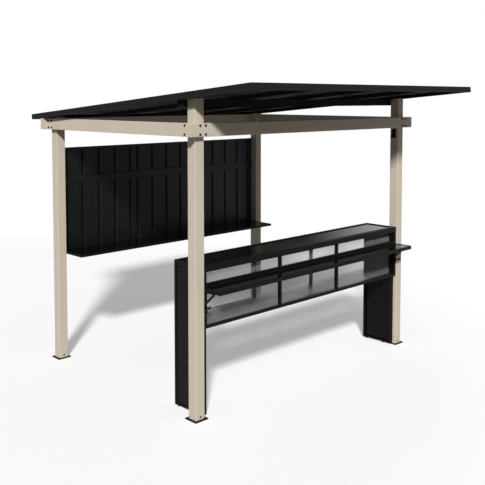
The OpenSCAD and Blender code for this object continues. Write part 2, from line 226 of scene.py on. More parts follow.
def floor_material():
    """A pale matt floor that turns into a white glow between two distances from the fade's middle. Seen
    directly it has its pale colour and a faint glow. For the light that it bounces it is grey."""
    material = bpy.data.materials.new("floor")
    material.use_nodes = True
    tree = material.node_tree
    tree.nodes.clear()
    place = tree.nodes.new("ShaderNodeTexCoord").outputs["Object"]
    distance = node(tree, "ShaderNodeVectorMath", output="Value", operation="DISTANCE",
                    _0=place, _1=FADE_MIDDLE)
    far = node(tree, "ShaderNodeMapRange", interpolation_type="SMOOTHSTEP", Value=distance,
               From_Min=FADE_FROM, From_Max=FADE_TO)
    seen = rays_from(tree, "Is Camera Ray", "Is Glossy Ray", "Is Transmission Ray")
    fade = node(tree, "ShaderNodeMath", operation="MULTIPLY", _0=far, _1=seen)
    lift = node(tree, "ShaderNodeMath", operation="MULTIPLY", _0=seen, _1=FLOOR_LIFT)
    paint = node(tree, "ShaderNodeMix", data_type="RGBA", output=2, _0=seen, _6=FLOOR_BOUNCE, _7=FLOOR_SEEN)
    matt = node(tree, "ShaderNodeBsdfDiffuse", Color=paint)
    glow = node(tree, "ShaderNodeEmission", Color=(1, 1, 1, 1), Strength=lift)
    near = node(tree, "ShaderNodeAddShader", _0=matt, _1=glow)
    white = node(tree, "ShaderNodeEmission", Color=(1, 1, 1, 1), Strength=1.0)
    shade = node(tree, "ShaderNodeMixShader", _0=fade, _1=near, _2=white)
    node(tree, "ShaderNodeOutputMaterial", Surface=shade)
    return material


def disc(name, radius, sides):
    """A flat disc: points at equal turns round the middle, joined as one face."""
    turn = np.linspace(0, 2 * np.pi, sides, endpoint=False)
    points = np.stack([radius * np.cos(turn), radius * np.sin(turn), np.zeros(sides)], axis=1)
    mesh = bpy.data.meshes.new(name)
    mesh.from_pydata(points.tolist(), [], [list(range(sides))])
    made = bpy.data.objects.new(name, mesh)
    bpy.context.scene.collection.objects.link(made)
    return made


floor = disc("floor", FLOOR_RADIUS, 96)
floor.data.materials.append(floor_material())
floor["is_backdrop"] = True
print("floor radius", FLOOR_RADIUS, "m")

# %% [markdown]
# ## Paints
#
# Every steel part is powder coated: dry paint powder is baked on, and it levels out with a fine orange-peel
# skin. One function makes such a paint from its colour, its roughness and the depth of its skin. Two noises
# do the rest. A coarse one shifts the colour by a few hundredths and dulls the gloss in soft patches, as on
# handled and dusty metal, and a fine one drives the bump. Both read the object's own coordinates in metres.

# %% A powder coat
PEEL_SCALE = 420.0
PATCH_SCALE = 1.7


def principled(name):
    """A new material with its node tree, its Principled shader and a place on the object in metres."""
    material = bpy.data.materials.new(name)
    material.use_nodes = True
    tree = material.node_tree
    shader = next(n for n in tree.nodes if n.type == "BSDF_PRINCIPLED")
    return material, tree, shader, tree.nodes.new("ShaderNodeTexCoord").outputs["Object"]


def powder_coat(name, colour, roughness, shine=0.5, peel=0.0001, patch=0.05, stretch=(1.0, 1.0, 1.0)):
    """Powder-coated metal. The patch noise scales the colour by 1 - patch to 1 + patch and moves the
    roughness. Shine is the strength of the mirror part, where 0.5 is that of clear lacquer."""
    material, tree, shader, place = principled(name)
    stretched = node(tree, "ShaderNodeMapping", Vector=place, Scale=stretch)
    patches = node(tree, "ShaderNodeTexNoise", Vector=stretched, Scale=PATCH_SCALE, Detail=5.0,
                   Roughness=0.55)
    shade = node(tree, "ShaderNodeMapRange", Value=patches, From_Min=0.3, From_Max=0.7,
                 To_Min=1 - patch, To_Max=1 + patch)
    scaled = node(tree, "ShaderNodeVectorMath", operation="SCALE", _0=colour, Scale=shade)
    dull = node(tree, "ShaderNodeMapRange", Value=patches, From_Min=0.3, From_Max=0.7,
                To_Min=roughness - 0.04, To_Max=roughness + 0.05)
    peeled = node(tree, "ShaderNodeTexNoise", Vector=place, Scale=PEEL_SCALE, Detail=2.0)
    bump = node(tree, "ShaderNodeBump", Height=peeled, Strength=0.35, Distance=peel)
    fill(tree, shader, Base_Color=scaled, Roughness=dull, Specular_IOR_Level=shine, Normal=bump)
    return material


print("orange peel:", round(1000 / PEEL_SCALE, 1), "mm from bump to bump")

# %% [markdown]
# The coats differ in more than colour. The roof's is coarse and matt, the boards' is smooth and glossy, and
# the panel's patches are stretched upwards, the way rain runs down it. Grooves and gaps get a darker,
# duller coat of their own, which is painted shade. Colours are amounts of light, so a black is a few
# thousandths.

# %% Mix the paints
COATS = {
    "tan_paint": dict(colour=(0.512, 0.448, 0.368), roughness=0.46, shine=0.3, patch=0.02),
    "roof_black": dict(colour=(0.0140, 0.0136, 0.0131), roughness=0.68, shine=0.055, peel=0.0002,
                       patch=0.10),
    "panel_charcoal": dict(colour=(0.0037, 0.0041, 0.0043), roughness=0.45, shine=0.20, patch=0.15,
                           stretch=(6.0, 6.0, 0.5)),
    # Painted shade: a darker, duller coat for the floors of the back panel's grooves.
    "groove_painted_shade": dict(colour=(0.0032, 0.0033, 0.0034), roughness=0.6, shine=0.075),
    # Painted shade: a near-black, dull coat for the end panels' cores, which show in the gaps round their
    # sheets.
    "gap_painted_shade": dict(colour=(0.0010, 0.0010, 0.0010), roughness=0.7, shine=0.012),
    "counter_black": dict(colour=(0.0050, 0.0047, 0.0043), roughness=0.42, shine=0.07),
    "top_gloss_black": dict(colour=(0.0014, 0.0014, 0.0014), roughness=0.14, shine=0.42, peel=0.00001),
    "plate_black": dict(colour=(0.0060, 0.0050, 0.0045), roughness=0.50, shine=0.06),
    "hardware_black": dict(colour=(0.0036, 0.0031, 0.0028), roughness=0.45, shine=0.07),
    "strut_brown": dict(colour=(0.020, 0.011, 0.009), roughness=0.50, shine=0.15),
}
paints = {name: powder_coat(name, **coat) for name, coat in COATS.items()}
print("paints:", ", ".join(paints))

# %% [markdown]
# Three surfaces aren't painted. The mesh is zinc-coated steel that has weathered, so it is grey and matt,
# and no longer bright. The counter's feet are black moulded plastic with a fine pebbled skin. Each has its
# own recipe.

# %% Weathered mesh and moulded plastic
MESH_GREY = (0.200, 0.200, 0.201, 1)
PLASTIC_BLACK = (0.003, 0.003, 0.003, 1)


def weathered_zinc():
    """The mesh's dull grey skin, whose roughness changes along each strand."""
    material, tree, shader, place = principled("mesh_steel")
    grain = node(tree, "ShaderNodeTexNoise", Vector=place, Scale=260.0, Detail=3.0)
    rough = node(tree, "ShaderNodeMapRange", Value=grain, To_Min=0.45, To_Max=0.65)
    fill(tree, shader, Base_Color=MESH_GREY, Roughness=rough, Specular_IOR_Level=0.15)
    return material


def moulded_plastic():
    """Black moulded plastic with a fine pebbled skin."""
    material, tree, shader, place = principled("foot_plastic")
    pebbles = node(tree, "ShaderNodeTexVoronoi", Vector=place, Scale=700.0)
    bump = node(tree, "ShaderNodeBump", Height=pebbles, Strength=0.3, Distance=0.0001)
    fill(tree, shader, Base_Color=PLASTIC_BLACK, Roughness=0.6, Specular_IOR_Level=0.1, Normal=bump)
    return material


paints["mesh_steel"] = weathered_zinc()
paints["foot_plastic"] = moulded_plastic()
print("unpainted:", paints["mesh_steel"].name, "and", paints["foot_plastic"].name)

# %% [markdown]
# The third is the board low in the counter, a bare zinc-coated sheet. It is satin metal with painted light
# on it: darker towards the front as painted shade, and lighter towards the back as a painted reflection.
# The crystals of the zinc, its spangle, change the roughness a little from place to place. Its left end is
# scuffed, which blurs what it mirrors there.

# %% Bare sheet
# Painted light: the board is darkened at its front as painted shade and lightened at its back as a painted
# reflection.
PAINTED_SHADE_ZINC = (0.34, 0.330, 0.325, 1)
PAINTED_REFLECTION_ZINC = (0.88, 0.88, 0.87, 1)
SCUFFED_AT, SMOOTH_AT = -0.7, 0.0
SCUFF_ROUGHNESS = 0.45


def bare_sheet(front, back):
    """Satin zinc with painted light: darker at one place along Y as painted shade, and lighter at another
    as a painted reflection. The roughness is the spangle's plus the scuffs', which fade out along X."""
    material, tree, shader, place = principled("bare_sheet")
    along = node(tree, "ShaderNodeSeparateXYZ", output="Y", Vector=place)
    shade_to_reflection = node(tree, "ShaderNodeMapRange", Value=along, From_Min=front, From_Max=back)
    # Painted shade at the front, blending into a painted reflection at the back.
    colour = node(tree, "ShaderNodeMix", data_type="RGBA", output=2, _0=shade_to_reflection, _6=PAINTED_SHADE_ZINC,
                  _7=PAINTED_REFLECTION_ZINC)
    spangle = node(tree, "ShaderNodeTexNoise", Vector=place, Scale=60.0, Detail=3.0)
    satin = node(tree, "ShaderNodeMapRange", Value=spangle, To_Min=0.20, To_Max=0.28)
    across = node(tree, "ShaderNodeSeparateXYZ", output="X", Vector=place)
    scuffs = node(tree, "ShaderNodeMapRange", Value=across, From_Min=SCUFFED_AT, From_Max=SMOOTH_AT,
                  To_Min=SCUFF_ROUGHNESS, To_Max=0.0)
    rough = node(tree, "ShaderNodeMath", operation="ADD", _0=satin, _1=scuffs)
    fill(tree, shader, Base_Color=colour, Roughness=rough, Metallic=1.0)
    return material


board_low, board_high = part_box("counter_bottom")
paints["bare_sheet"] = bare_sheet(board_low[1], board_high[1])
print("bare sheet from Y", round(board_low[1], 3), "to", round(board_high[1], 3))

# %% [markdown]
# The frame's own parts come without a finish. The record names a slot for each, and the paint of that name
# goes on. Many of them are replaced further down, but those that already have their true shape, such as the
# roof's ribbed sheets, the trim and the base plates, are kept and show this paint.

# %% Paint the frame
for part in frame["record"]["subparts"]:
    piece = frame["nodes"][part["node"]]
    piece.data.materials.clear()
    piece.data.materials.append(paints[part["material_slot"]])

# %% [markdown]
# ## Surfaces from rings
#
# Nearly every new piece is rolled, pressed or cut from one profile, so it is a stack of rings. A ring is a
# closed outline in a plane, and the next ring is the same outline further along, or a little smaller. The
# rings form a grid of points: one parameter goes round the outline, the other from ring to ring.
# Neighbouring points of the grid are joined by four-sided faces. The stack ends in two flat faces, or its
# last ring joins its first, which makes a tube with a wall.

# %% A stack of rings
X, Y, Z = 0, 1, 2


def stacked(rings, joined=False):
    """Points and faces of a stack of rings, an array of rings by points by three. Each face joins two
    neighbours in a ring to the same two in the next. The stack is closed by a flat face at each end or,
    joined, by faces between the last ring and the first."""
    rows, columns = rings.shape[:2]
    here = np.arange(rows * columns).reshape(rows, columns)
    beside = np.roll(here, -1, axis=1)
    quads = np.stack([here[:-1], beside[:-1], beside[1:], here[1:]], axis=-1).reshape(-1, 4)
    if joined:
        ends = np.stack([here[-1], beside[-1], beside[0], here[0]], axis=-1)
    else:
        ends = np.stack([here[0, ::-1], here[-1]])
    return rings.reshape(-1, 3), quads.tolist() + ends.tolist()


print("faces of a stack of three rings of eight points:", len(stacked(np.zeros((3, 8, 3)))[1]))

# %% [markdown]
# Most outlines here are rectangles with round corners, because folded and rolled steel has no sharp ones. A
# Bevel modifier could round a box too, but an outline that is computed says which edges are round and by
# how much, and the same rings serve solid bars and hollow tubes.

# %% Rings of a rectangular bar
SMALLEST_CORNER = 0.0004


def outline(low, high, radius, steps=4):
    """Anticlockwise outline of a rectangle with round corners. Each corner is a quarter turn about a centre
    that lies one radius inside both sides: centre + radius * (cos a, sin a)."""
    turn = np.radians(np.linspace(0, 90, steps + 1)) + np.radians([[0], [90], [180], [270]])
    sign = np.array([[1, 1], [-1, 1], [-1, -1], [1, -1]])
    centre = np.where(sign > 0, high, low) - radius * sign
    return (centre[:, None] + radius * np.stack([np.cos(turn), np.sin(turn)], axis=-1)).reshape(-1, 2)


def rings_of(low, high, axis, corner, stations):
    """Rings of a rectangular bar between two corners of its box. A station is an inset from the bar's four
    sides and a place along its axis, and the corner radius shrinks with the inset."""
    low, high = np.roll(low, 2 - axis), np.roll(high, 2 - axis)
    rings = []
    for inset, place in stations:
        ring = outline(low[:2] + inset, high[:2] - inset, max(corner - inset, SMALLEST_CORNER))
        rings.append(np.column_stack([ring, np.full(len(ring), place)]))
    return np.roll(np.array(rings), axis - 2, axis=-1)


print("a 90 mm post's outline has", len(outline([-0.045, -0.045], [0.045, 0.045], 0.005)), "points")

# %% [markdown]
# Three of the stacks come up again and again. A bar is closed and has all its edges eased, as folded sheet
# has. A tube has a wall, and round corners where it was rolled. A tray is a board with a rim round it that
# stands up.

# %% Bars, tubes and trays
BOARD_LIFT = 0.0002


def eased(radius, steps=3):
    """Insets r (1 - sin a) and depths r (1 - cos a) along an eased edge, with a from 0 to 90 degrees."""
    a = np.radians(np.linspace(0, 90, steps))
    return radius * (1 - np.sin(a)), radius * (1 - np.cos(a))


def bar(low, high, axis, corner=0.003, edge=0.001):
    """A closed bar that fills its box, with round corners along its axis and eased ends."""
    inset, depth = eased(edge)
    start = np.column_stack([inset, low[axis] + depth])
    end = np.column_stack([inset, high[axis] - depth])[::-1]
    return stacked(rings_of(low, high, axis, corner, np.concatenate([start, end])))


def tube(low, high, axis, wall=0.002, corner=0.005):
    """A rolled tube that fills its box and is open at both ends."""
    first, last = low[axis], high[axis]
    stations = [(0, first), (0, last), (wall, last), (wall, first)]
    return stacked(rings_of(low, high, axis, corner, stations), joined=True)


def tray(low, high, rim, depth, corner=0.004, edge=0.0015):
    """The two parts of a shallow tray: a rim, whose profile goes up the side, over the top and down the
    inside to the underside, and the board that fills it a little lower."""
    inset, fall = eased(edge)
    under = np.column_stack([inset, low[Z] + fall])
    outside = np.column_stack([inset, high[Z] - fall])[::-1]
    inside = np.column_stack([rim - inset, high[Z] - fall])
    profile = np.concatenate([under, outside, inside, [(rim, low[Z])]])
    rim_part = stacked(rings_of(low, high, Z, corner, profile), joined=True)
    board = bar(low + [rim, rim, BOARD_LIFT], high - [rim, rim, depth], Z, corner=0.0005, edge=0.0004)
    return rim_part, board


print("a bar has", len(bar([0, 0, 0], [0.1, 0.1, 1], Z)[0]), "points")

# %% [markdown]
# Two more stacks have round rings. A turned piece, such as a bolt's head or a foot, has them about an
# upright axis, and a rod, such as a hook, has them along a path. With six points to a ring, the turned
# piece is a nut.

# %% Turned pieces and rods
def turned(profile, sides=24):
    """Rings about the Z axis from pairs of radius and height: (r cos a, r sin a, h)."""
    a = np.linspace(0, 2 * np.pi, sides, endpoint=False)
    radius, height = np.array(profile, float).T[:, :, None]
    return stacked(np.stack([radius * np.cos(a), radius * np.sin(a), height + np.zeros(sides)], axis=-1))


def rod(path, radius, side, sides=12):
    """Rings round each point of a flat path. The ring lies in the plane of the path's side and the second
    direction, which is square to the path: point + r cos a * side + r sin a * second."""
    path, side = np.array(path, float), np.array(side, float)
    along = np.gradient(path, axis=0)
    along /= np.linalg.norm(along, axis=1, keepdims=True)
    second = np.cross(along, side)
    a = np.linspace(0, 2 * np.pi, sides, endpoint=False)[:, None]
    return stacked(path[:, None] + radius * (np.cos(a) * side + np.sin(a) * second[:, None]))


print("a turned cone has", len(turned([(0.01, 0), (0.005, 0.01)])[0]), "points")

# %% [markdown]
# A finished piece may be made of several of these. Their points are put into one mesh, painted, and tied to
# the frame's body. Eased edges are shaded smoothly, and a Weighted Normal modifier keeps the large faces
# flat, because it lets the largest face at a corner decide the direction there. Where a piece takes the
# place of a plain solid of the frame, that solid is hidden.

# %% Join parts into a painted piece
SMOOTH_BELOW = np.radians(50)


def joined(parts):
    """One set of points and faces from several. A part's face numbers rise by the points before it."""
    starts = np.cumsum([0] + [len(points) for points, _ in parts])
    faces = [[corner + start for corner in face]
             for (_, part), start in zip(parts, starts) for face in part]
    return np.concatenate([points for points, _ in parts]), faces


def new_piece(name, parts, slot, stands_for=(), finish=None):
    """A mesh object from parts, with the paint of a material slot, in place of some of the frame's nodes. A
    finish is the key of another paint, for a piece that looks unlike the rest of its slot."""
    points, faces = joined(parts)
    mesh = bpy.data.meshes.new(name)
    mesh.from_pydata(points.tolist(), [], faces)
    mesh.materials.append(paints[finish or slot])
    mesh.shade_smooth()
    mesh.set_sharp_from_angle(angle=SMOOTH_BELOW)
    piece = bpy.data.objects.new(name, mesh)
    bpy.context.scene.collection.objects.link(piece)
    weighted = piece.modifiers.new("flat faces", "WEIGHTED_NORMAL")
    weighted.keep_sharp = True
    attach(piece, "root")
    if stands_for:
        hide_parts(*stands_for)
    print(f"{name}: {len(points)} points, {len(faces)} faces")


print("edges are shaded smoothly below", round(np.degrees(SMOOTH_BELOW)), "degrees")

# %% [markdown]
# Places and sizes aren't typed in again. They are read from the frame: the box of a node, or all its
# points. A mesh hands over its points in one go with foreach_get, which is much faster than asking for them
# one by one.

# %% Read the frame's nodes
def box_of(name):
    """The lowest and the highest corner of a node of the frame, as arrays."""
    low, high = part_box(name)
    return np.array(low), np.array(high)


def points_of(name):
    """All the points of a node of the frame."""
    mesh = frame["nodes"][name].data
    points = np.empty(len(mesh.vertices) * 3, np.float32)
    mesh.vertices.foreach_get("co", points)
    return points.reshape(-1, 3).astype(float)


print("lowest corner of the front beam:", box_of("beam_front")[0].round(3))

# %% [markdown]
# ## Posts
#
# A post is a square tube, rolled from steel strip, so its long corners are round and its ends are cut. The
# top is cut along the slope of the roof. The slope is measured on the roof's left edge trim, from its
# highest point at the front to the point furthest back.

# %% Make the posts
POSTS = ["post_front_left", "post_front_right", "post_back_left", "post_back_right"]
trim = points_of("fascia_left")
trim_front, trim_back = trim[trim[:, Z].argmax()], trim[trim[:, Y].argmax()]
roof_fall = (trim_front[Z] - trim_back[Z]) / (trim_back[Y] - trim_front[Y])
print(f"the roof falls {np.degrees(np.arctan(roof_fall)):.2f} degrees to the back")

for name in POSTS:
    low, high = box_of(name)
    points, faces = tube(low, high, Z)
    top = points[:, Z] > (low[Z] + high[Z]) / 2
    points[top, Z] = high[Z] - roof_fall * (points[top, Y] - low[Y])
    new_piece(name + "_tube", [(points, faces)], "tan_paint", [name])

# %% [markdown]
# ## Beams and their end caps
#
# The beams are flat rolled tubes. The two that run across are open at their ends, where a moulded cap is
# pressed in. The cap's flange has the tube's outline, so the tube is made shorter by the flange, and the
# whole keeps the frame's length. The two side beams end against the others and need no cap.

# %% Make the beams
BEAM_CORNER = 0.004
CAP_FLANGE = 0.0025
CAP_PLUG = 0.012
CAP_CLEARANCE = 0.003


def end_cap(low, high, inner, outer):
    """A cap's flange, between its inner and outer place along X, and the plug that goes into the tube."""
    near, far = sorted([inner, outer])
    flange = bar([near, low[Y], low[Z]], [far, high[Y], high[Z]], X, corner=BEAM_CORNER, edge=0.0008)
    near, far = sorted([inner, inner + np.sign(inner - outer) * CAP_PLUG])
    plug = bar([near, low[Y] + CAP_CLEARANCE, low[Z] + CAP_CLEARANCE],
               [far, high[Y] - CAP_CLEARANCE, high[Z] - CAP_CLEARANCE], X)
    return [flange, plug]


for name in ["beam_front", "beam_back"]:
    low, high = box_of(name)
    ends = np.array([CAP_FLANGE, 0, 0])
    new_piece(name + "_tube", [tube(low + ends, high - ends, X, corner=BEAM_CORNER)], "tan_paint", [name])
    caps = (end_cap(low, high, low[X] + CAP_FLANGE, low[X])
            + end_cap(low, high, high[X] - CAP_FLANGE, high[X]))
    new_piece(name + "_caps", caps, "tan_paint")

for name in ["beam_left", "beam_right"]:
    new_piece(name + "_tube", [tube(*box_of(name), Y, corner=BEAM_CORNER)], "tan_paint", [name])

# %% [markdown]
# ## Bolts
#
# Each beam is held to each post by four bolts. A bolt is a washer and a six-sided head with a chamfered
# top, so it is two turned pieces with different numbers of sides. One bolt is worked out once, standing
# upright, and is then turned and copied to every place.

# %% A bolt, and copies of a part
BOLT_HEAD, BOLT_WASHER = 0.0078, 0.0098


def bolt(head, washer):
    """A washer and a six-sided head, upright, from their radii. The heights follow from the radii."""
    thick = 0.16 * washer
    top = thick + 0.7 * head
    washer_part = turned([(washer - thick / 3, 0), (washer, thick / 3), (washer, 2 * thick / 3),
                          (washer - thick / 3, thick)], 20)
    head_part = turned([(head, thick), (head, top - 0.18 * head), (0.86 * head, top)], 6)
    return joined([washer_part, head_part])


def facing(direction):
    """A turn that takes the Z axis to a level direction, with the old X axis still level."""
    z = np.array(direction, float)
    x = np.array([-z[1], z[0], 0.0])
    return np.column_stack([x, np.cross(z, x), z])


def placed(part, turn, places):
    """Copies of a part, turned and moved to each place: turn * point + place."""
    points, faces = part
    places = np.array(places, float)
    many = (points @ turn.T)[None] + places[:, None]
    raised = [[corner + k * len(points) for corner in face] for k in range(len(places)) for face in faces]
    return many.reshape(-1, 3), raised


beam_bolt = bolt(BOLT_HEAD, BOLT_WASHER)
print("a bolt has", len(beam_bolt[1]), "faces")

# %% [markdown]
# The bolts stand in two columns and two rows, where the beam's outer face crosses the post. A tube bolted
# with one bolt could still turn about it, and two rows set well apart stop that.

# %% Make the bolts of the beams
BOLT_COLUMNS, BOLT_ROWS = 0.028, 0.034
OUTWARD = {"front": (0, -1, 0), "back": (0, 1, 0), "left": (-1, 0, 0), "right": (1, 0, 0)}


def bolts_on(side):
    """Two columns and two rows of bolts on the outer face of one side's beam, at each of its posts."""
    low, high = box_of("beam_" + side)
    normal = np.array(OUTWARD[side], float)
    out, across = (X, Y) if normal[X] else (Y, X)
    posts = np.array([np.add(*box_of(post))[across] / 2 for post in POSTS if side in post])
    places = np.empty((len(posts), 2, 2, 3))
    places[..., out] = high[out] if normal[out] > 0 else low[out]
    places[..., across] = posts[:, None, None] + [[-BOLT_COLUMNS], [BOLT_COLUMNS]]
    places[..., Z] = (low[Z] + high[Z]) / 2 + [-BOLT_ROWS, BOLT_ROWS]
    return placed(beam_bolt, facing(normal), places.reshape(-1, 3))


for side in OUTWARD:
    new_piece("bolts_beam_" + side, [bolts_on(side)], "hardware_black")

# %% [markdown]
# ## The counter's boards
#
# The counter top, the ledge in front of it and the shelf at the back are shallow trays, so that a glass
# doesn't slide off. The rim is satin and the board in it is glossy, so they are two pieces with two paints.

# %% Make the trays
TRAYS = {"counter_top": (0.016, 0.008), "bar_ledge": (0.010, 0.004), "back_shelf": (0.010, 0.004)}

for name, (rim, depth) in TRAYS.items():
    rim_part, board = tray(*box_of(name), rim, depth)
    new_piece(name + "_rim", [rim_part], "counter_black", [name])
    new_piece(name + "_board", [board], "top_gloss_black")

# %% [markdown]
# The board low in the counter is a thin bare sheet. It is held along its front and back edges and sags a
# few millimetres between them. The sag is small, but the sheet is a mirror of sorts, and a flat one would
# show the room's edges as straight lines. So its profile is a parabola, drawn out along the counter.

# %% Make the low board
SAG = 0.006


def dished(low, high, depth, steps=16):
    """A board whose top sags between its front and back edges: z = top - depth (1 - u^2), with u from -1
    at the front to 1 at the back."""
    u = np.linspace(1, -1, steps)
    top_y = (low[Y] + high[Y]) / 2 + u * (high[Y] - low[Y]) / 2
    top_z = high[Z] - depth * (1 - u ** 2)
    profile = np.concatenate([[[low[Y], low[Z]], [high[Y], low[Z]]], np.column_stack([top_y, top_z])])
    rings = [np.column_stack([np.full(len(profile), x), profile]) for x in (low[X], high[X])]
    return stacked(np.array(rings))


new_piece("counter_bottom_board", [dished(*box_of("counter_bottom"), SAG)], "top_gloss_black",
          ["counter_bottom"], finish="bare_sheet")

# %% [markdown]
# ## Rails and stiles
#
# The level bars of the counter's frame and of the back panel are thin square tube, welded shut at both
# ends. Nobody sees inside them, so each is a bar that fills the box of its node, with the small round
# corners of rolled tube.

# %% Make the rails
for name in ["counter_front_top_rail", "counter_front_middle_rail", "counter_front_bottom_rail",
             "counter_back_top_rail"]:
    new_piece(name + "_bar", [bar(*box_of(name), X, corner=0.0025)], "counter_black", [name])
for name in ["back_panel_top_rail", "back_panel_middle_rail"]:
    new_piece(name + "_bar", [bar(*box_of(name), X, corner=0.002)], "panel_charcoal", [name])

# %% [markdown]
# The grooves of the back panel's sheets are pressed by a roller. Their floors are painted darker and duller
# than the faces, as painted shade, because little light falls in. Each floor gets its own thin strip. Its
# place comes from the sheet's points, which lie at four depths: the face, its back, the floor and its back.

# %% Make the groove floors
STRIP_THICKNESS = 0.0006


def groove_floors(name):
    """Thin strips on one sheet's groove floors. The points at the floor's depth give the floors' sides."""
    points = points_of(name)
    floor_depth = np.unique(points[:, Y].round(4))[2]
    on_floor = np.abs(points[:, Y] - floor_depth) < 0.0001
    sides = np.unique(points[on_floor, X].round(4)).reshape(-1, 2)
    low, high = points[:, Z].min(), points[:, Z].max()
    return [bar([left, floor_depth - STRIP_THICKNESS, low], [right, floor_depth, high], Z,
                corner=0.0003, edge=0.0003) for left, right in sides]


for name in ["back_panel_left", "back_panel_middle", "back_panel_right"]:
    # Each groove floor gets a thin strip with painted shade, darker and duller than the panel's faces.
    new_piece(name + "_grooves", groove_floors(name), "panel_charcoal", finish="groove_painted_shade")

# %% [markdown]
# The stiles are the upright bars between the counter's rails. One node holds several of them, so its box is
# too wide for any. The box of each is found from the node's faces: sorted along the counter, they fall into
# groups with a clear space between one group and the next.

# %% Make the stiles
def solids_along(name, axis):
    """The boxes of a node's solids, which lie apart along an axis. Each face covers a stretch of it. With
    the faces sorted by where they start, a new solid begins where one starts past all ends so far."""
    mesh = frame["nodes"][name].data
    corners = np.empty(len(mesh.loops), np.int32)
    mesh.loops.foreach_get("vertex_index", corners)
    faces = points_of(name)[corners.reshape(-1, 3)]
    low, high = faces.min(axis=1), faces.max(axis=1)
    order = low[:, axis].argsort()
    low, high = low[order], high[order]
    reach = np.maximum.accumulate(high[:, axis])
    cuts = np.flatnonzero(low[1:, axis] > reach[:-1] + 1e-5) + 1
    return [(part_low.min(axis=0), part_high.max(axis=0))
            for part_low, part_high in zip(np.split(low, cuts), np.split(high, cuts))]


for name in ["counter_front_stiles", "counter_back_stiles"]:
    stiles = [bar(low, high, Z, corner=0.0025) for low, high in solids_along(name, X)]
    new_piece(name + "_bars", stiles, "counter_black", [name])

# %% [markdown]
# ## The counter's end panels
#
# An end panel is a folded steel frame with a sheet set into each face. Between the frame and the sheet runs
# a narrow gap, which is what one sees of the joint: a dark line all round. The panel is built the same way,
# as a core with a near-black coat of painted shade that shows in the gap, four flanges of full thickness
# round its rim, and a raised sheet on each face. The inner face has a wider gap at its back and foot.

# %% Make the end panels
RECESS = 0.008
TUCK = 0.001
FLANGE_WIDTH, REAR_FLANGE_WIDTH = 0.016, 0.025
SHEET_BELOW_FLANGE = 0.003
INNER_GAPS = {"front": 0.001, "back": 0.021, "foot": 0.013, "top": 0.005}
OUTER_GAPS = {"front": 0.008, "back": 0.009, "foot": 0.008, "top": 0.005}


def end_panel(low, high, inner_side):
    """The core, the four flanges and the two raised sheets of one end panel. The inner side is 1 where the
    inner face looks along X, and -1 where it looks against it."""
    inset = np.array([RECESS, TUCK, TUCK])
    core = bar(low + inset, high - inset, Z, corner=0.001)
    front, back = low[Y] + FLANGE_WIDTH, high[Y] - REAR_FLANGE_WIDTH
    foot, top = low[Z] + FLANGE_WIDTH, high[Z] - FLANGE_WIDTH
    flanges = [bar(low, [high[X], front, high[Z]], Z),
               bar([low[X], back, low[Z]], high, Z),
               bar([low[X], front, low[Z]], [high[X], back, foot], Y),
               bar([low[X], front, top], [high[X], back, high[Z]], Y)]
    sheets = []
    for side, gaps in [(inner_side, INNER_GAPS), (-inner_side, OUTER_GAPS)]:
        face = high[X] if side > 0 else low[X]
        near, far = sorted([face - side * SHEET_BELOW_FLANGE, face - side * (RECESS + TUCK)])
        sheets.append(bar([near, front + gaps["front"], foot + gaps["foot"]],
                          [far, back - gaps["back"], top - gaps["top"]], Z, corner=0.0015, edge=0.0012))
    return core, flanges, sheets


for name, inner_side in [("counter_end_left", 1), ("counter_end_right", -1)]:
    core, flanges, sheets = end_panel(*box_of(name), inner_side)
    new_piece(name + "_frame", flanges, "counter_black", [name])
    # The core carries painted shade, so the gap round each sheet reads as a dark slit.
    new_piece(name + "_core", [core], "counter_black", finish="gap_painted_shade")
    new_piece(name + "_sheets", sheets, "counter_black")

# %% [markdown]
# ## The expanded mesh
#
# The three bays of the counter's front are closed by expanded metal: a sheet is slit and pulled until the
# slits open into diamonds. What is left are flat strands that lean thirty degrees one way and the other. An
# image with holes would be cheaper, but it has no thickness and no edges, so each strand is a flat strip of
# its own. A strand follows the line z = start + slope * x, and it is cut where that line leaves the bay.
# The strands that lean one way lie just behind those that lean the other way, so the two layers touch. Such
# a mesh is welded to the inside of its frame, so both layers lie near the back of the stiles.

# %% Make the mesh
STRAND_LEAN = np.radians(30)
DIAMOND_HEIGHT = 0.0145
STRAND_WIDTH = 0.0046
STRAND_THICKNESS = 0.0010
MESH_SETBACK = 0.023


def strands(low, high, lean, near):
    """Flat strips across a bay, all at one lean. Each is a box along its line: its eight corners are the
    line's two ends, moved by half the width square to the line and by the thickness to the back."""
    slope = np.tan(lean)
    rise = abs(slope) * (high[X] - low[X])
    start = np.arange(low[Z] - rise, high[Z] + rise, DIAMOND_HEIGHT)
    crossings = low[X] + np.sort((np.array([low[Z], high[Z]]) - start[:, None]) / slope, axis=1)
    crossings = np.clip(crossings, low[X], high[X])
    kept = crossings[:, 1] - crossings[:, 0] > STRAND_WIDTH
    start, crossings = start[kept], crossings[kept]
    ends_x = np.repeat(crossings, 4, axis=1)
    ends_z = start[:, None] + slope * (ends_x - low[X])
    wide = np.tile([-1, 1, 1, -1], 2) * STRAND_WIDTH / 2
    deep = np.tile([0, 0, 1, 1], 2) * STRAND_THICKNESS
    x = np.clip(ends_x - np.sin(lean) * wide, low[X], high[X])
    z = np.clip(ends_z + np.cos(lean) * wide, low[Z], high[Z])
    points = np.stack([x, np.broadcast_to(near + deep, x.shape), z], axis=-1)
    box_faces = np.array([[0, 1, 2, 3], [7, 6, 5, 4], [4, 5, 1, 0],
                          [5, 6, 2, 1], [6, 7, 3, 2], [7, 4, 0, 3]])
    faces = (box_faces[None] + 8 * np.arange(len(points))[:, None, None]).reshape(-1, 4)
    return points.reshape(-1, 3), faces.tolist()


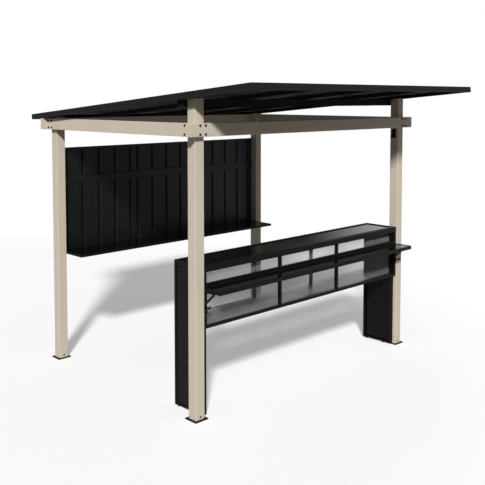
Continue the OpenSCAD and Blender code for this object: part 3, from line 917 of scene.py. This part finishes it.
mesh_layers = []
for low, high in solids_along("counter_mesh", X):
    near = low[Y] + MESH_SETBACK
    mesh_layers.append(strands(low, high, -STRAND_LEAN, near))
    mesh_layers.append(strands(low, high, STRAND_LEAN, near + STRAND_THICKNESS))
new_piece("counter_mesh_strands", mesh_layers, "mesh_steel", ["counter_mesh"])

# %% [markdown]
# ## Ledge brackets and hooks
#
# The ledge hangs on two brackets of flat bar: an upright arm on the frame, a level arm under the ledge, and
# a brown strut between them that is held by a rivet at each end. A round rod with its tip turned up makes a
# hook for a towel or a bottle opener.

# %% A hook's path, a strut and a rivet
HOOK_RADIUS = 0.0065
TIP_RADIUS = 0.010
STRUT_WIDTH, STRUT_THICKNESS = 0.022, 0.015


def hook_path(root, out, length, steps=8):
    """Points of a hook: straight out from its root, then a quarter turn up with a short straight tip."""
    out, up = np.array(out, float), np.array([0, 0, 1.0])
    straight = length - TIP_RADIUS
    a = np.linspace(0, np.pi / 2, steps)[:, None]
    bend = root + straight * out + TIP_RADIUS * (np.sin(a) * out + (1 - np.cos(a)) * up)
    return np.concatenate([[root, root + 0.5 * straight * out], bend, [bend[-1] + TIP_RADIUS * up]])


def strut(foot, head, side):
    """A flat bar between two points of a plane square to X. It is laid out upright, as long as the points
    are apart, and the turn takes the upright direction to the direction from foot to head."""
    along = head - foot
    length = np.linalg.norm(along)
    along = along / length
    half = np.array([STRUT_WIDTH, STRUT_THICKNESS]) / 2
    straight = bar([-half[0], -half[1], 0], [half[0], half[1], length], Z, corner=0.0015)
    turn = np.column_stack([side, np.cross(along, side), along])
    return placed(straight, turn, [foot])


rivet = turned([(0.0045, 0), (0.0045, 0.001), (0.0035, 0.0024), (0.0015, 0.003)], 16)
print("a rivet has", len(rivet[1]), "faces")

# %% [markdown]
# The two brackets are two solids of one node. The box of each gives its arms, strut, rivets and hook their
# places.

# %% Make the brackets
ARM = 0.005
STRUT_FOOT, STRUT_REACH = 0.085, 0.096
RIVET_SHIFT = 0.004
HOOK_RISE = 0.047
BRACKET_HOOK_LENGTH = 0.047


def bracket(low, high):
    """The arms, rivets and hook of one bracket, and its strut. The wall is the counter frame's face."""
    middle, wall = (low[X] + high[X]) / 2, high[Y]
    foot = np.array([middle, wall - ARM - STRUT_THICKNESS / 2, low[Z] + STRUT_FOOT])
    head = np.array([middle, wall - STRUT_REACH, high[Z] - ARM - STRUT_THICKNESS / 2])
    right = [foot + [STRUT_WIDTH / 2, 0, RIVET_SHIFT], head + [STRUT_WIDTH / 2, RIVET_SHIFT, 0]]
    left = [pin - [STRUT_WIDTH, 0, 0] for pin in right]
    root = np.array([middle, wall - ARM, low[Z] + HOOK_RISE])
    parts = [bar([low[X], wall - ARM, low[Z]], high, Z, corner=0.0015),
             bar([low[X], low[Y], high[Z] - ARM], [high[X], wall - ARM, high[Z]], Y, corner=0.0015),
             placed(rivet, facing((1, 0, 0)), right),
             placed(rivet, facing((-1, 0, 0)), left),
             rod(hook_path(root, (0, -1, 0), BRACKET_HOOK_LENGTH), HOOK_RADIUS, (1, 0, 0))]
    return parts, strut(foot, head, np.array([1.0, 0, 0]))


both = [bracket(low, high) for low, high in solids_along("ledge_brackets", X)]
new_piece("ledge_brackets_and_hooks", [part for parts, _ in both for part in parts], "hardware_black",
          ["ledge_brackets"])
new_piece("ledge_bracket_struts", [leaning for _, leaning in both], "hardware_black", finish="strut_brown")

# %% [markdown]
# The front posts carry a hook each, just under the beams. A plate with round corners is screwed to the
# post's inner face, and the hook's rod is welded to the foot of the plate.

# %% Make the post hooks
HOOK_PLATE = 0.004
POST_HOOK_LENGTH = 0.036
POST_HOOK_RISE = 0.008
PLATE_SCREW_HEIGHTS = (0.030, 0.074)

post_hook_parts = []
for low, high in solids_along("post_hooks", X):
    inward = 1.0 if low[X] < 0 else -1.0
    wall = low[X] if inward > 0 else high[X]
    face = wall + inward * HOOK_PLATE
    near, far = sorted([wall, face])
    root = np.array([face, (low[Y] + high[Y]) / 2, low[Z] + POST_HOOK_RISE])
    screw_places = [[face, root[Y], low[Z] + height] for height in PLATE_SCREW_HEIGHTS]
    post_hook_parts += [
        bar([near, low[Y], low[Z]], [far, high[Y], high[Z]], X, corner=0.006, edge=0.0008),
        rod(hook_path(root, (inward, 0, 0), POST_HOOK_LENGTH), HOOK_RADIUS, (0, 1, 0)),
        placed(rivet, facing((inward, 0, 0)), screw_places)]
new_piece("post_hooks_and_plates", post_hook_parts, "hardware_black", ["post_hooks"])

# %% [markdown]
# ## Levelling feet
#
# Each end panel of the counter stands on two screw feet. A foot is a turned piece: a round pad with an
# eased edge, a six-sided nut moulded on it, and a threaded stud that goes up into the panel.

# %% Make the feet
foot_columns = [(low[X] + high[X]) / 2 for low, high in solids_along("counter_feet", X)]
foot_rows = [(low[Y] + high[Y]) / 2 for low, high in solids_along("counter_feet", Y)]
foot_low, foot_high = box_of("counter_feet")
pad_radius = (foot_high[X] - foot_low[X] - (foot_columns[-1] - foot_columns[0])) / 2
pad = turned([(pad_radius - 0.001, 0), (pad_radius, 0.001), (pad_radius, 0.005),
              (pad_radius - 0.002, 0.0065)])
nut = turned([(0.008, 0.0065), (0.008, 0.0105), (0.007, 0.0112)], 6)
stud = turned([(0.004, 0.0112), (0.004, foot_high[Z])], 16)
foot_places = [[column, row, 0] for column in foot_columns for row in foot_rows]
new_piece("levelling_feet", [placed(joined([pad, nut, stud]), np.eye(3), foot_places)], "foot_plastic",
          ["counter_feet"])

# %% [markdown]
# ## Screws of the roof
#
# The roof's sheets meet over the rafters. Self-drilling screws with a sealing washer hold them down, in one
# row on each side of every seam. The rows are laid out flat, as a grid of distances across and down the
# slope, and then tilted onto the roof. The screws stand on the flat of the sheets, a rib's height below
# their tops.

# %% Make the roof's screws
ROOF_SCREW_PITCH = 0.30
ROOF_SCREW_MARGIN = 0.12
SEAM_TO_SCREW = 0.022
SHEET_BELOW_TRIM, RIB_HEIGHT = 0.002, 0.012

roof_screw = joined([turned([(0.0075, 0), (0.0080, 0.0008), (0.0070, 0.0018)], 16),
                     turned([(0.0045, 0.0018), (0.0045, 0.0058), (0.0038, 0.0066)], 6)])
roof_angle = np.arctan(roof_fall)
roof_length = np.hypot(*(trim_back - trim_front)[1:])
roof_turn = np.array([[1, 0, 0],
                      [0, np.cos(roof_angle), np.sin(roof_angle)],
                      [0, -np.sin(roof_angle), np.cos(roof_angle)]])
rafters = [box_of(name) for name in ["rafter_left", "rafter_middle", "rafter_right"]]
seams = np.array([(low[X] + high[X]) / 2 for low, high in rafters])
columns = (seams[:, None] + [-SEAM_TO_SCREW, SEAM_TO_SCREW]).ravel()
rows = np.linspace(ROOF_SCREW_MARGIN, roof_length - ROOF_SCREW_MARGIN, int(roof_length / ROOF_SCREW_PITCH))
grid = np.stack(np.meshgrid(columns, rows, [-SHEET_BELOW_TRIM - RIB_HEIGHT]), axis=-1).reshape(-1, 3)
high_edge = np.array([0.0, trim_front[Y], trim_front[Z]])
new_piece("roof_screws", [placed(roof_screw, roof_turn, grid @ roof_turn.T + high_edge)], "roof_black")

# %% [markdown]
# ## Screws of the panel, the posts and the counter
#
# Small round-headed screws hold the back panel's middle rail to its sheets, in an upper and a lower row.
# They are turned pieces like the bolts.

# %% Make the panel's screws
RAIL_SCREWS = 7
RAIL_SCREW_MARGIN = 0.06
RAIL_SCREW_HEIGHTS = (0.018, 0.061)

small_screw = turned([(0.0050, 0), (0.0052, 0.0008), (0.0044, 0.0022), (0.0026, 0.0030)], 14)
rail_low, rail_high = box_of("back_panel_middle_rail")
rail_x = np.linspace(rail_low[X] + RAIL_SCREW_MARGIN, rail_high[X] - RAIL_SCREW_MARGIN, RAIL_SCREWS)
rail_places = [[x, rail_low[Y], rail_low[Z] + height] for x in rail_x for height in RAIL_SCREW_HEIGHTS]
new_piece("panel_screws", [placed(small_screw, facing((0, -1, 0)), rail_places)], "panel_charcoal")

# %% [markdown]
# A larger screw through each post's front face, close to the ground, fixes the post to its base plate.
# Three small ones in each end panel's rear flange hold the counter's back frame.

# %% Make the posts' and the counter's screws
POST_SCREW_HEIGHT = 0.022
TOP_SCREW_DROP, FOOT_SCREW_RISE = 0.030, 0.040

large_screw = turned([(0.0070, 0), (0.0072, 0.0010), (0.0060, 0.0028), (0.0034, 0.0038)], 16)
screw_places = []
for name in POSTS:
    low, high = box_of(name)
    screw_places.append([(low[X] + high[X]) / 2, low[Y], low[Z] + POST_SCREW_HEIGHT])
new_piece("post_foot_screws", [placed(large_screw, facing((0, -1, 0)), screw_places)], "hardware_black",
          finish="strut_brown")

end_screws = []
for name, inward in [("counter_end_left", 1.0), ("counter_end_right", -1.0)]:
    low, high = box_of(name)
    face = high[X] if inward > 0 else low[X]
    heights = (high[Z] - TOP_SCREW_DROP, 0.5 * high[Z], low[Z] + FOOT_SCREW_RISE)
    places = [[face, high[Y] - REAR_FLANGE_WIDTH / 2, height] for height in heights]
    end_screws.append(placed(small_screw, facing((inward, 0, 0)), places))
new_piece("end_panel_screws", end_screws, "counter_black")

# %% [markdown]
# ## Sizes
#
# The dressed gazebo has to fill the same box as its frame, because whoever places it relies on that box.

# %% Write the sizes and finish
low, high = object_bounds()
print("dressed box:", np.array(low).round(3), np.array(high).round(3))
